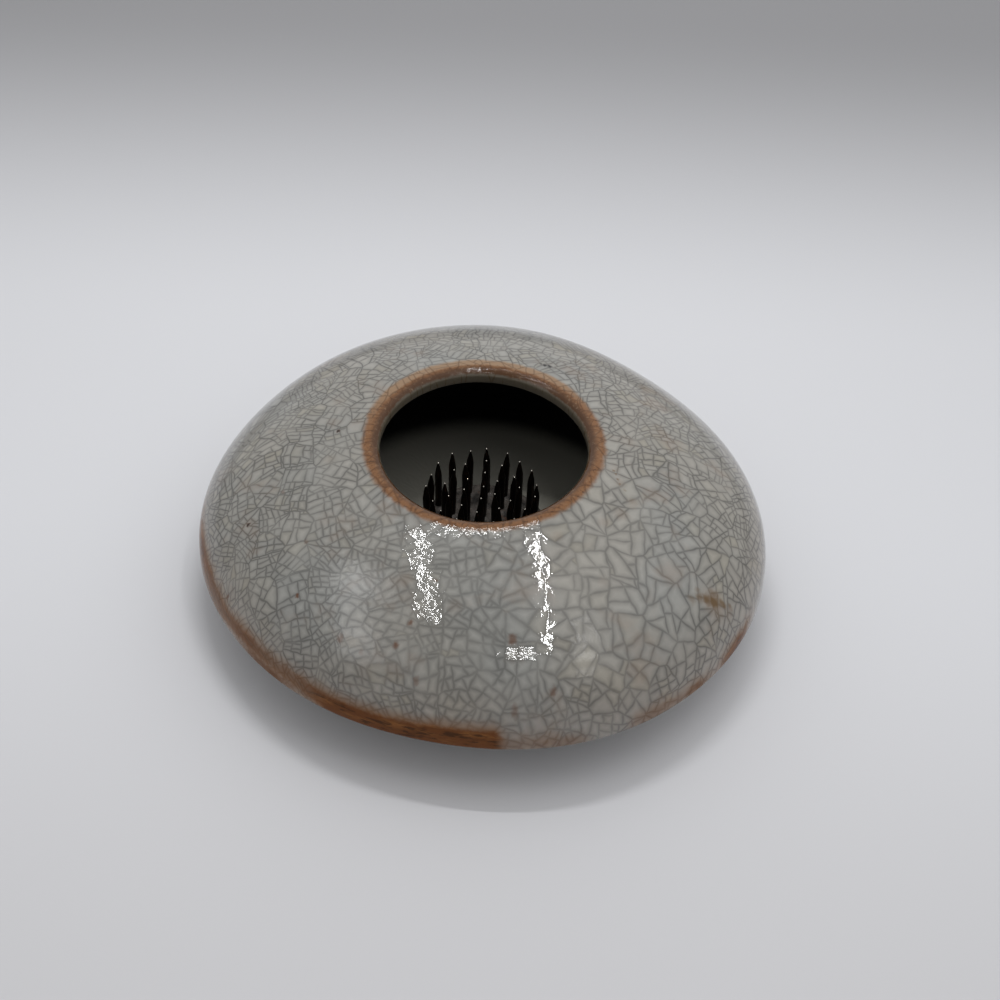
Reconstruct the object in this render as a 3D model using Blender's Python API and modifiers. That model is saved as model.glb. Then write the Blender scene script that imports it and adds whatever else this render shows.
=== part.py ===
# Ikebana vase: a low round stoneware vase with one mouth, and a pin holder that stands on its floor.
# Metres, +Z up. The origin is on the table, under the middle of the vase.

import math

import bmesh
import bpy
from mathutils import Euler, Matrix

# Vase outside
EDGE_RADIUS = 0.0575        # widest radius of the vase, at its edge
EDGE_HEIGHT = 0.0126        # height of that edge above the table
CREST_HEIGHT = 0.0370       # height of the mouth's rim above the table
FOOT_RADIUS = 0.0270        # outer radius of the foot ring
FOOT_WIDTH = 0.0040         # width of the flat face that the vase stands on
FOOT_DEPTH = 0.0023         # recess inside the foot ring
FOOT_CHAMFER = 0.0005       # softened outer and inner corners of the foot ring
FOOT_SIDE = 0.0018          # height of the foot ring's outer side

# Vase mouth and inside
BORE_RADIUS = 0.0210        # inside of the neck, which the pin holder passes through
LIP_WIDTH = 0.0021          # from the bore out to the rim's crest
LIP_ROUND = 0.0016          # how far down the rounding of the lip reaches
NECK_DEPTH = 0.0036         # from the rim's crest down to the end of the neck
NECK_ROUND = 0.0012         # rounding where the neck turns out into the ceiling
WALL = 0.0045               # wall at the edge
FLOOR_THICKNESS = 0.0047    # clay under the pin holder
FLOOR_FLAT_RADIUS = 0.0240  # flat middle of the floor

# Roundness of the curves: 2 is an ellipse, more is squarer, less is more pointed
DOME_ROUNDNESS = 2.2
UNDER_ACROSS = 2.0
UNDER_DOWN = 1.4

SHARP_ANGLE = math.radians(40)  # edges that turn more than this stay crisp

# Pin holder
PIN_RINGS = 3               # rings of pins around the middle one
PINS_IN_FIRST_RING = 6      # each further ring has as many more
RING_PITCH = 0.0037         # from ring to ring
BASE_MARGIN = 0.0032        # from the outer ring of pins to the disc's side
BASE_THICKNESS = 0.0053
BASE_ROUNDING = 0.0006
PIN_RADIUS = 0.00075
PIN_TIP_RADIUS = 0.00008
PIN_TAPER = 0.0036          # length of the sharpened end
PIN_FULLNESS = 0.62         # share of the radius halfway up the sharpened end
PIN_RISE = 0.0123           # from the disc's top to the tips
PIN_SEAT = 0.0025           # depth of the holes that the pins stand in
PIN_LEAN = math.radians(1.6)    # how far a worn pin leans at most
RING_TURNS = (0.0, math.radians(25), math.radians(-3), math.radians(5.5))
HOLDER_SHIFT = -0.0006      # along X, how far off the vase's axis the loose holder stands

CLEARANCE = 0.0003          # gap between pieces that touch on the real object

# Fineness of the round surfaces
VASE_STEPS = 72
BASE_STEPS = 48
PIN_SIDES = 12
DOME_POINTS = 14
UNDER_POINTS = 8
CEILING_POINTS = 9
FLOOR_POINTS = 7
LIP_POINTS = 5
NECK_POINTS = 3

# Sizes that follow from the ones above
CREST_RADIUS = BORE_RADIUS + LIP_WIDTH
FLOOR_HEIGHT = FOOT_DEPTH + FLOOR_THICKNESS
BASE_HEIGHT = FLOOR_HEIGHT + CLEARANCE
BASE_RADIUS = PIN_RINGS * RING_PITCH + BASE_MARGIN
HOLE_RADIUS = PIN_RADIUS + CLEARANCE
PIN_LENGTH = PIN_SEAT - CLEARANCE + PIN_RISE
MERGE = 0.00001


def clear_scene():
    for obj in list(bpy.data.objects):
        bpy.data.objects.remove(obj, do_unlink=True)


def new_collection(name):
    collection = bpy.data.collections.new(name)
    bpy.context.scene.collection.children.link(collection)
    return collection


def material(name, color, roughness, metallic):
    mat = bpy.data.materials.new(name)
    mat.use_nodes = True
    shader = mat.node_tree.nodes["Principled BSDF"]
    shader.inputs["Base Color"].default_value = (*color, 1.0)
    shader.inputs["Roughness"].default_value = roughness
    shader.inputs["Metallic"].default_value = metallic
    mat.diffuse_color = (*color, 1.0)
    return mat


def arc(start, end, across, up, count):
    """Points of a rounded quarter turn, from a start that it leaves upright to an end that it meets level."""
    points = []
    for i in range(count + 1):
        turn = math.pi / 2 * i / count
        # the cosine of a quarter turn comes out a hair from zero, and its root would be far from it
        level = max(math.cos(turn), 0.0) ** (2 / across) if i < count else 0.0
        x = end[0] + (start[0] - end[0]) * level
        z = start[1] + (end[1] - start[1]) * math.sin(turn) ** (2 / up)
        points.append((x, z))
    return points


def dome_arc(edge, cut, count):
    """Points of a squashed ball's side, from its upright edge in and up to the ring where its top is cut off."""
    last = math.acos((cut[0] / edge[0]) ** (DOME_ROUNDNESS / 2))
    points = []
    for i in range(count + 1):
        turn = last * i / count
        x = edge[0] * math.cos(turn) ** (2 / DOME_ROUNDNESS)
        rise = (math.sin(turn) / math.sin(last)) ** (2 / DOME_ROUNDNESS)
        points.append((x, edge[1] + (cut[1] - edge[1]) * rise))
    return points


def turned(name, profile, steps, collection, mat):
    """A profile of (radius, height) points turned once around the Z axis."""
    mesh = bpy.data.meshes.new(name)
    points = [(x, 0.0, z) for x, z in profile]
    mesh.from_pydata(points, [(i, i + 1) for i in range(len(points) - 1)], [])
    mesh.materials.append(mat)
    return turned_copy(name, mesh, steps, collection)


def turned_copy(name, mesh, steps, collection):
    obj = bpy.data.objects.new(name, mesh)
    collection.objects.link(obj)
    screw = obj.modifiers.new("turn", "SCREW")
    screw.axis = "Z"
    screw.angle = 2 * math.pi
    screw.steps = steps
    screw.render_steps = steps
    screw.use_merge_vertices = True
    screw.merge_threshold = MERGE
    screw.use_smooth_shade = True
    return obj


def vase_profile():
    """From the middle of the floor, up the inside, over the lip, down the outside and back under the foot."""
    edge = (EDGE_RADIUS, EDGE_HEIGHT)
    hollow = (EDGE_RADIUS - WALL, EDGE_HEIGHT)
    neck_end = (BORE_RADIUS + NECK_ROUND, CREST_HEIGHT - NECK_DEPTH)
    floor_edge = (FLOOR_FLAT_RADIUS, FLOOR_HEIGHT)
    crest = (CREST_RADIUS, CREST_HEIGHT)
    foot_top = (FOOT_RADIUS, FOOT_SIDE)
    foot_inside = FOOT_RADIUS - FOOT_WIDTH

    floor = arc(hollow, floor_edge, UNDER_ACROSS, UNDER_DOWN, FLOOR_POINTS)
    ceiling = dome_arc(hollow, neck_end, CEILING_POINTS)
    neck = arc((BORE_RADIUS, neck_end[1] + NECK_ROUND), neck_end, 2, 2, NECK_POINTS)
    lip = arc((BORE_RADIUS, CREST_HEIGHT - LIP_ROUND), crest, 2, 2, LIP_POINTS)
    dome = dome_arc(edge, crest, DOME_POINTS)
    under = arc(edge, foot_top, UNDER_ACROSS, UNDER_DOWN, UNDER_POINTS)

    profile = [(0.0, FLOOR_HEIGHT)]
    profile += floor[::-1]
    profile += ceiling[1:]
    profile += neck[-2::-1]
    profile += lip
    profile += dome[-2::-1]
    profile += under[1:]
    profile += [
        (FOOT_RADIUS, FOOT_CHAMFER),
        (FOOT_RADIUS - FOOT_CHAMFER, 0.0),
        (foot_inside + FOOT_CHAMFER, 0.0),
        (foot_inside, FOOT_CHAMFER),
        (foot_inside - FOOT_CHAMFER, FOOT_DEPTH),
        (0.0, FOOT_DEPTH),
    ]
    return profile


def pin_places():
    """Place and lean of each pin: (x, y, lean around X, lean around Y), from the middle outwards."""
    places = []
    for ring in range(PIN_RINGS + 1):
        count = max(1, PINS_IN_FIRST_RING * ring)
        first = RING_TURNS[ring % len(RING_TURNS)]
        for i in range(count):
            angle = first + 2 * math.pi * i / count
            number = len(places)
            # two unlike waves along the count give each pin its own lean
            lean_x = PIN_LEAN * math.sin(2.4 * number + 0.7)
            lean_y = PIN_LEAN * math.cos(3.7 * number)
            x = ring * RING_PITCH * math.cos(angle)
            y = ring * RING_PITCH * math.sin(angle)
            places.append((x, y, lean_x, lean_y))
    return places


def seat_holes(places, collection, parent):
    """The blind holes of all the pins, as one cutter with a closed cylinder for each."""
    bm = bmesh.new()
    above = PIN_SEAT        # the cutter stands this far out of the disc's top
    for x, y, lean_x, lean_y in places:
        made = bmesh.ops.create_cone(bm, cap_ends=True, segments=PIN_SIDES, radius1=HOLE_RADIUS,
                                     radius2=HOLE_RADIUS, depth=PIN_SEAT + above)
        placed = pin_matrix(x, y, lean_x, lean_y)
        for vert in made["verts"]:
            # the cylinder is made around its middle, which lies at the top of the disc
            vert.co = placed @ vert.co
    mesh = bpy.data.meshes.new("pin_holes")
    bm.to_mesh(mesh)
    bm.free()
    cutter = bpy.data.objects.new("pin_holes", mesh)
    collection.objects.link(cutter)
    cutter.parent = parent
    cutter.hide_render = True
    cutter.display_type = "WIRE"
    return cutter


def pin_matrix(x, y, lean_x, lean_y):
    """Turns a pin about the point where it leaves the disc, and moves it to its place."""
    return Matrix.Translation((x, y, BASE_THICKNESS)) @ Euler((lean_x, lean_y, 0.0)).to_matrix().to_4x4()


def make_vase(collection):
    glaze = material("glaze", (0.37, 0.37, 0.34), 0.2, 0.0)
    turned("vase_body", vase_profile(), VASE_STEPS, collection, glaze)


def make_base(places, collection, cutters, parent):
    lead = material("lead", (0.10, 0.10, 0.10), 0.6, 0.6)
    bm = bmesh.new()
    bmesh.ops.create_cone(bm, cap_ends=True, segments=BASE_STEPS, radius1=BASE_RADIUS,
                          radius2=BASE_RADIUS, depth=BASE_THICKNESS)
    bmesh.ops.translate(bm, verts=bm.verts, vec=(0.0, 0.0, BASE_THICKNESS / 2))
    mesh = bpy.data.meshes.new("kenzan_base")
    bm.to_mesh(mesh)
    bm.free()
    mesh.materials.append(lead)
    mesh.shade_smooth()
    mesh.set_sharp_from_angle(angle=SHARP_ANGLE)
    base = bpy.data.objects.new("kenzan_base", mesh)
    collection.objects.link(base)
    base.parent = parent

    rounding = base.modifiers.new("rounding", "BEVEL")
    rounding.width = BASE_ROUNDING
    rounding.segments = 2
    rounding.limit_method = "ANGLE"

    holes = base.modifiers.new("pin seats", "BOOLEAN")
    holes.operation = "DIFFERENCE"
    holes.solver = "EXACT"
    holes.object = seat_holes(places, cutters, parent)


def make_pins(places, collection, parent):
    dark = material("pin", (0.02, 0.016, 0.014), 0.35, 0.9)
    foot = CLEARANCE - PIN_SEAT     # the pin's lower end, measured from the disc's top
    tip = foot + PIN_LENGTH
    half_taper = PIN_TAPER / 2
    profile = [
        (0.0, tip),
        (PIN_TIP_RADIUS, tip),
        (PIN_FULLNESS * PIN_RADIUS, tip - half_taper),
        (PIN_RADIUS, tip - PIN_TAPER),
        (PIN_RADIUS, foot),
        (0.0, foot),
    ]
    mesh = None
    for number, (x, y, lean_x, lean_y) in enumerate(places, start=1):
        name = f"kenzan_pin_{number:02d}"
        if mesh is None:
            pin = turned(name, profile, PIN_SIDES, collection, dark)
            mesh = pin.data
        else:
            pin = turned_copy(name, mesh, PIN_SIDES, collection)
        pin.parent = parent
        pin.location = (x, y, BASE_THICKNESS)
        pin.rotation_euler = (lean_x, lean_y, 0.0)


def main():
    clear_scene()
    parts = new_collection("ikebana_vase")
    cutters = new_collection("cutters")

    make_vase(parts)

    # the pin holder is lifted straight up from where it stands on the floor
    kenzan = bpy.data.objects.new("kenzan", None)
    parts.objects.link(kenzan)
    kenzan.location = (HOLDER_SHIFT, 0.0, BASE_HEIGHT)

    places = pin_places()
    make_base(places, parts, cutters, kenzan)
    make_pins(places, parts, kenzan)


main()
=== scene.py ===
# Looks of the ikebana vase: a crackled grey glaze, a brown rim and edge, and a dark pin holder inside.
import math

import bpy
import numpy as np
from mathutils import Matrix, Vector


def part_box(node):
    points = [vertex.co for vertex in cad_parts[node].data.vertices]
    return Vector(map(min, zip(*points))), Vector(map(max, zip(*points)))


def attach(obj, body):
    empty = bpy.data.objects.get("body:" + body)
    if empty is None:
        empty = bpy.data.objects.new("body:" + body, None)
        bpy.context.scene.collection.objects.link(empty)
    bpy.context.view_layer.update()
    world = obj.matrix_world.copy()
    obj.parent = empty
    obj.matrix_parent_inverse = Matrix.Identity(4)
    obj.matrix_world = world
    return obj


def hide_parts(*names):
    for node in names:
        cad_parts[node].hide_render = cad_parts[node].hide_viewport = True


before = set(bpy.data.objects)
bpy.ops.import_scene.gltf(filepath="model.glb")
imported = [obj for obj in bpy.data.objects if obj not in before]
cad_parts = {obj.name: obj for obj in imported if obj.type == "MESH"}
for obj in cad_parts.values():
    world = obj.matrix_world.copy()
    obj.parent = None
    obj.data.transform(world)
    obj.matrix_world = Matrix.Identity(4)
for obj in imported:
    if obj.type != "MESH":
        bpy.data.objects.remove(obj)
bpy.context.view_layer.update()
millimetre = 0.001


# Helpers for node trees

def seen(red, green, blue):
    # a colour as it looks on screen, 0 to 255, turned into the linear values that a shader takes
    shares = np.array([red, green, blue]) / 255
    linear = np.where(shares > 0.04045, ((shares + 0.055) / 1.055) ** 2.4, shares / 12.92)
    return (*linear.tolist(), 1.0)


def newMaterial(name):
    material = bpy.data.materials.new(name)
    material.use_nodes = True
    tree = material.node_tree
    return material, tree, tree.nodes["Principled BSDF"]


def addNode(tree, kind, inputs=None, **settings):
    # one node; inputs maps a socket's name or number to a value or to another node's output
    node = tree.nodes.new(kind)
    for key, value in settings.items():
        setattr(node, key, value)
    for key, value in (inputs or {}).items():
        if isinstance(value, bpy.types.NodeSocket):
            tree.links.new(value, node.inputs[key])
        else:
            node.inputs[key].default_value = value
    return node


def calc(tree, operation, *values, clamp=False):
    node = addNode(tree, "ShaderNodeMath", dict(enumerate(values)), operation=operation, use_clamp=clamp)
    return node.outputs[0]


def product(tree, first, *others):
    # all of them multiplied, from left to right
    for other in others:
        first = calc(tree, "MULTIPLY", first, other)
    return first


def vec(tree, operation, *values):
    node = addNode(tree, "ShaderNodeVectorMath", dict(enumerate(values)), operation=operation)
    return node.outputs["Value" if operation in ("DOT_PRODUCT", "LENGTH", "DISTANCE") else "Vector"]


def scaled(tree, vector, factor):
    node = addNode(tree, "ShaderNodeVectorMath", {0: vector, "Scale": factor}, operation="SCALE")
    return node.outputs[0]


def fade(tree, value, low, high, toLow=0.0, toHigh=1.0):
    # a smooth step from toLow at low to toHigh at high
    node = addNode(tree, "ShaderNodeMapRange", {0: value, 1: low, 2: high, 3: toLow, 4: toHigh},
                   interpolation_type="SMOOTHSTEP")
    return node.outputs[0]


def mixColours(tree, share, first, second, kind="MIX"):
    node = addNode(tree, "ShaderNodeMix", {0: share, 6: first, 7: second},
                   data_type="RGBA", blend_type=kind)
    return node.outputs[2]


def bell(tree, distance, width):
    # exp(-(distance / width)^2)
    share = calc(tree, "DIVIDE", distance, width)
    return calc(tree, "EXPONENT", product(tree, share, share, -1.0))


def noise(tree, where, scale, detail=2.0, roughness=0.5, output=0):
    node = addNode(tree, "ShaderNodeTexNoise",
                   {"Vector": where, "Scale": scale, "Detail": detail, "Roughness": roughness})
    return node.outputs[output]


def strayNoise(tree, where, scale, detail):
    # a noise vector around nought, up to half a unit each way
    return vec(tree, "SUBTRACT", noise(tree, where, scale, detail, output=1), (0.5, 0.5, 0.5))


def whiteNoise(tree, seed):
    node = addNode(tree, "ShaderNodeTexWhiteNoise", {"Vector": seed}, noise_dimensions="3D")
    return node.outputs["Color"]


def partsOf(tree, vector):
    return addNode(tree, "ShaderNodeSeparateXYZ", {0: vector}).outputs


def partsOfColour(tree, colour):
    return addNode(tree, "ShaderNodeSeparateColor", {0: colour}).outputs


def vectorOf(tree, x, y, z=0.0):
    return addNode(tree, "ShaderNodeCombineXYZ", {0: x, 1: y, 2: z}).outputs[0]


def attribute(tree, name, output="Fac"):
    return addNode(tree, "ShaderNodeAttribute", attribute_name=name).outputs[output]


def placeInMillimetres(tree):
    coordinates = addNode(tree, "ShaderNodeTexCoord").outputs["Object"]
    return scaled(tree, coordinates, 1 / millimetre)


def bump(tree, shader, height):
    # height is in millimetres
    node = addNode(tree, "ShaderNodeBump", {"Height": height, "Distance": millimetre, "Strength": 1.0})
    tree.links.new(node.outputs[0], shader.inputs["Normal"])


# Helpers for surfaces

def quarterArc(start, end, across, up, count):
    # a quarter turn that leaves its start upright and meets its end level, with t from 0 to 90 degrees:
    # x = endX + (startX - endX) cos(t)^(2/across), z = startZ + (endZ - startZ) sin(t)^(2/up)
    turn = np.linspace(0, math.pi / 2, count + 1)
    level = np.maximum(np.cos(turn), 0) ** (2 / across)
    level[-1] = 0
    x = end[0] + (start[0] - end[0]) * level
    z = start[1] + (end[1] - start[1]) * np.sin(turn) ** (2 / up)
    return np.stack([x, z], 1)


def cutBallArc(edge, cut, roundness, count):
    # the side of a squashed ball from its upright edge to the ring where its top is cut off:
    # x = edgeX cos(t)^(2/n), z climbs as (sin t / sin last)^(2/n), last where x reaches the cut
    last = math.acos((cut[0] / edge[0]) ** (roundness / 2))
    turn = np.linspace(0, last, count + 1)
    x = edge[0] * np.cos(turn) ** (2 / roundness)
    z = edge[1] + (cut[1] - edge[1]) * (np.sin(turn) / math.sin(last)) ** (2 / roundness)
    return np.stack([x, z], 1)


def roundedCorner(before, corner, after, size, count):
    # a corner of a profile cut back by size on both sides and rounded:
    # (1-t)^2 start + 2 t (1-t) corner + t^2 end, t from 0 to 1
    before, corner, after = map(np.array, (before, corner, after))
    start = corner + (before - corner) / np.linalg.norm(before - corner) * size
    end = corner + (after - corner) / np.linalg.norm(after - corner) * size
    t = np.linspace(0, 1, count + 1)[:, None]
    return (1 - t) ** 2 * start + 2 * t * (1 - t) * corner + t ** 2 * end


def levelRun(start, end, height, count):
    # points evenly from one radius to another at one height
    return np.stack([np.linspace(start, end, count), np.full(count, height)], 1)


def turnedMesh(name, places, values=None):
    # places is rows x columns x 3: each row is a closed ring, and the first and last rows are poles, each
    # one point repeated; quads join row i to row i + 1, and fans close the poles
    rows, columns = places.shape[:2]
    inner = places[1:-1].reshape(-1, 3)
    points = np.concatenate([places[0, :1], inner, places[-1, :1]])
    ring = np.arange(columns)
    after = (ring + 1) % columns
    here = 1 + columns * np.arange(rows - 3)[:, None]
    there = here + columns
    quads = np.stack([here + ring, here + after, there + after, there + ring], -1).reshape(-1, 4)
    lastRing = 1 + columns * (rows - 3)
    startFan = np.stack([np.zeros(columns, int), 1 + after, 1 + ring], -1)
    endFan = np.stack([np.full(columns, len(points) - 1), lastRing + ring, lastRing + after], -1)
    corners = np.concatenate([quads.ravel(), startFan.ravel(), endFan.ravel()])
    starts = np.concatenate([4 * np.arange(len(quads)), 4 * len(quads) + 3 * np.arange(2 * columns)])

    mesh = bpy.data.meshes.new(name)
    mesh.vertices.add(len(points))
    mesh.vertices.foreach_set("co", points.astype(np.float32).ravel())
    mesh.loops.add(len(corners))
    mesh.loops.foreach_set("vertex_index", corners.astype(np.int32))
    mesh.polygons.add(len(starts))
    mesh.polygons.foreach_set("loop_start", starts.astype(np.int32))
    mesh.update(calc_edges=True)
    mesh.polygons.foreach_set("use_smooth", np.ones(len(starts), bool))
    for key, value in (values or {}).items():
        kind, field = ("FLOAT", "value") if value.ndim == 2 else ("FLOAT_VECTOR", "vector")
        width = value.size // (rows * columns)
        inner = value[1:-1].reshape(-1, width)
        flat = np.concatenate([value[0, :1].reshape(1, width), inner, value[-1, :1].reshape(1, width)])
        mesh.attributes.new(key, kind, "POINT").data.foreach_set(field, flat.astype(np.float32).ravel())
    mesh.validate()
    return mesh


def addObject(name, data):
    thing = bpy.data.objects.new(name, data)
    bpy.context.scene.collection.objects.link(thing)
    return thing


def addPiece(name, mesh, material, body, slot, *nodes):
    piece = addObject(name, mesh)
    mesh.materials.append(material)
    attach(piece, body)
    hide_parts(*nodes)
    return piece


# Camera, as the photo was taken

cameraView = {
    "lens": 54.0,               # mm, for a square picture
    "sensorWidth": 36.0,
    "nearest": 10.0,            # mm, nothing closer to the camera is seen
    "elevation": 43.97,         # degrees above the table
    "roll": 2.48,               # degrees, the horizon turned clockwise in the picture
    "distance": 319.8,          # mm from the point looked at
    "lookAt": (3.20, 8.65),     # mm right and back of the vase's axis, at the height of its edge
}


def addCamera(values, edgeHeight):
    data = bpy.data.cameras.new("camera")
    data.lens = values["lens"]
    data.sensor_width = values["sensorWidth"]
    data.clip_start = values["nearest"] * millimetre
    camera = addObject("camera", data)
    bpy.context.scene.camera = camera
    tilt, roll = math.radians(values["elevation"]), math.radians(values["roll"])
    forward = Vector((0, math.cos(tilt), -math.sin(tilt)))
    up = Vector((0, math.sin(tilt), math.cos(tilt)))
    right = Vector((1, 0, 0))
    across = right * math.cos(roll) + up * math.sin(roll)
    upright = up * math.cos(roll) - right * math.sin(roll)
    x, y = values["lookAt"]
    target = Vector((x, y, edgeHeight)) * millimetre
    place = target - forward * values["distance"] * millimetre
    turn = Matrix((across, upright, -forward)).transposed().to_4x4()
    camera.matrix_world = Matrix.Translation(place) @ turn


# Vase

vaseShape = {                   # mm
    "edgeHeight": 12.6,         # height of the widest ring above the table
    "boreRadius": 21.0,
    "lipWidth": 2.1,
    "lipRound": 1.6,
    "neckDepth": 3.6,
    "neckRound": 1.2,
    "wall": 4.5,
    "floorHeight": 7.0,
    "floorFlatRadius": 24.0,
    "footRadius": 27.0,
    "footWidth": 4.0,
    "footDepth": 2.3,
    "footSide": 1.8,
    "footSoftness": 0.5,
    "domeRoundness": 2.2,
    "underAcross": 2.0,
    "underDown": 1.4,
    "around": 360,              # columns of the surface
    # rows of each stretch of the section
    "rows": {"floor": 9, "rise": 22, "ceiling": 30, "neck": 8, "lip": 16, "dome": 104, "under": 40,
             "footCorner": 4, "recess": 10},
    # how the hand-thrown wall strays from a true circle: (waves in a turn, mm, degrees of the first peak)
    "edgeOut": [(2, 0.96, -29), (3, 0.68, -32), (4, 0.40, 5),
                (5, 0.16, 12), (6, 0.10, 5), (7, 0.11, -23)],
    "rimOut": [(2, 0.35, 88), (3, 0.17, -59), (4, 0.05, -12)],
    "rimUp": [(1, 0.20, 95), (2, 0.53, -40), (3, 0.12, -12)],
    "edgeUp": [(2, 0.12, 69), (3, 0.13, 7)],
    "rimShift": (-0.28, 0.02),  # the mouth sits this far off the vase's axis
    "throwing": (9.0, 0.030),   # shallow turns left by the fingers: spacing and depth
    "rimDraw": (1.3, 4.0),      # mm that the crackle map is drawn in past the rim, and over what distance
    "lowerMapPlace": 200.0,     # mm, keeps the underside's crackle map apart from the upper one
}


def waveSum(angle, waves):
    # the sum of A cos(k (angle - first peak)) over the waves
    return sum(size * np.cos(k * (angle - math.radians(peak))) for k, size, peak in waves)


def vaseProfile(values, edgeRadius, crestHeight):
    # the section from the middle of the floor, up the inside, over the lip, down the outside and under the
    # foot. Columns: radius, height, share of the edge's strays outwards and upwards, share of the rim's
    # strays outwards and upwards, 1 where the surface is inside the hollow
    v, rows = values, values["rows"]
    edge = (edgeRadius, v["edgeHeight"])
    hollow = (edgeRadius - v["wall"], v["edgeHeight"])
    bore = v["boreRadius"]
    crest = (bore + v["lipWidth"], crestHeight)
    neckEnd = (bore + v["neckRound"], crestHeight - v["neckDepth"])
    floorEdge = (v["floorFlatRadius"], v["floorHeight"])
    footTop = (v["footRadius"], v["footSide"])
    footInside = v["footRadius"] - v["footWidth"]
    recess = (footInside - v["footSoftness"], v["footDepth"])
    soft = v["footSoftness"]

    floorRise = quarterArc(hollow, floorEdge, v["underAcross"], v["underDown"], rows["rise"])[::-1]
    ceiling = cutBallArc(hollow, neckEnd, v["domeRoundness"], rows["ceiling"])
    neck = quarterArc((bore, neckEnd[1] + v["neckRound"]), neckEnd, 2, 2, rows["neck"])[::-1]
    lip = quarterArc((bore, crest[1] - v["lipRound"]), crest, 2, 2, rows["lip"])
    dome = cutBallArc(edge, crest, v["domeRoundness"], rows["dome"])[::-1]
    under = quarterArc(edge, footTop, v["underAcross"], v["underDown"], rows["under"])
    flatFloor = levelRun(0, floorEdge[0], floorEdge[1], rows["floor"])
    foot = np.concatenate([
        roundedCorner(footTop, (v["footRadius"], 0), (footInside, 0), soft, rows["footCorner"]),
        roundedCorner((v["footRadius"], 0), (footInside, 0), recess, soft, rows["footCorner"]),
        roundedCorner((footInside, 0), recess, (0, v["footDepth"]), soft, rows["footCorner"]),
        levelRun(recess[0] - 2 * soft, 0, v["footDepth"], rows["recess"]),
    ])

    none = 0 * flatFloor[:, 0]
    floorShare = (floorRise[:, 0] - floorEdge[0]) / (hollow[0] - floorEdge[0])
    ceilingOut = (hollow[0] - ceiling[:, 0]) / (hollow[0] - neckEnd[0])
    ceilingUp = (ceiling[:, 1] - hollow[1]) / (neckEnd[1] - hollow[1])
    domeOut = (edge[0] - dome[:, 0]) / (edge[0] - crest[0])
    domeUp = (dome[:, 1] - edge[1]) / (crest[1] - edge[1])
    underShare = (under[:, 0] - footTop[0]) / (edge[0] - footTop[0])
    stretches = [
        (flatFloor, none, none, none, none, 1),
        (floorRise[1:], floorShare[1:], floorShare[1:], 0, 0, 1),
        (ceiling[1:], 1 - ceilingOut[1:], 1 - ceilingUp[1:], ceilingOut[1:], ceilingUp[1:], 1),
        (neck[1:], 0, 0, 1, 1, 0),
        (lip, 0, 0, 1, 1, 0),
        (dome[1:], 1 - domeOut[1:], 1 - domeUp[1:], domeOut[1:], domeUp[1:], 0),
        (under[1:], underShare[1:], underShare[1:], 0, 0, 0),
        (foot, 0, 0, 0, 0, 0),
    ]
    section = []
    for points, *shares in stretches:
        columns = [np.broadcast_to(share, len(points)) for share in shares]
        section.append(np.column_stack([points, *columns]))
    return np.concatenate(section)


def vaseSurface(values, edgeRadius, crestHeight):
    # the profile turned around Z, with every ring strayed by the waves of the edge and the rim:
    # r = profile + edgeShare edgeWave(angle) + rimShare rimWave(angle), and the height in the same way
    rows = vaseProfile(values, edgeRadius, crestHeight)
    radius, height, edgeOut, edgeUp, rimOut, rimUp, inside = rows.T[:, :, None]
    angle = np.linspace(0, 2 * math.pi, values["around"], endpoint=False)[None, :]
    steps = np.hypot(np.diff(rows[:, 0]), np.diff(rows[:, 1]))
    along = np.concatenate([[0], np.cumsum(steps)])
    crestRow = np.argmax(rows[:, 1])
    edgeRow = np.argmax(rows[:, 0])
    hollowRow = np.max(np.nonzero(rows[:, 6]))
    fromLip = (along - along[crestRow])[:, None]
    fromEdge = (along[edgeRow] - along)[:, None]
    outside = (rows[:, 6] == 0)[:, None] & (fromLip > 0)

    spacing, depth = values["throwing"]
    # the fingers' turns wander up and down a little on their way round
    wander = 1.7 * np.sin(angle + 0.6) + 0.8 * np.sin(3 * angle)
    turns = np.sin(2 * math.pi * fromLip / spacing + wander)
    grown = np.clip(fromLip / spacing, 0, 1) * np.clip(fromEdge / spacing, 0, 1)
    r = radius + edgeOut * waveSum(angle, values["edgeOut"]) + rimOut * waveSum(angle, values["rimOut"])
    z = height + edgeUp * waveSum(angle, values["edgeUp"]) + rimUp * waveSum(angle, values["rimUp"])
    z = z + depth * turns * grown
    shiftX, shiftY = values["rimShift"]
    x = r * np.cos(angle) + shiftX * rimUp
    y = r * np.sin(angle) + shiftY * rimUp
    places = np.stack([x, y, z], -1)

    # the glaze laid flat, for the crackle: seen from above, the distance from the middle is the way along
    # the surface, a little drawn in past the rim; the underside has its own map around the foot
    whole = np.ones_like(x)
    drawIn, fadesOver = values["rimDraw"]
    drawn = drawIn * (1 - np.exp(-np.clip(fromLip, 0, None) / fadesOver))
    fromMiddle = rows[crestRow, 0] + fromLip - drawn
    fromFoot = (along[-1] - along)[:, None]
    flat = [np.cos(angle), np.sin(angle)]
    marks = {
        "fromLip": fromLip * whole,                             # mm outwards from the rim's crest
        "fromEdge": np.where(outside, fromEdge, 99) * whole,    # mm up from the vase's edge, on the outside
        "insideDepth": np.clip(along[hollowRow] - along, 0, None)[:, None] * inside * whole,
        "upperMap": np.stack([fromMiddle * flat[0], fromMiddle * flat[1], 0 * whole], -1),
        "lowerMap": np.stack([fromFoot * flat[0], fromFoot * flat[1], values["lowerMapPlace"] * whole], -1),
    }
    return places, marks


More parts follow.
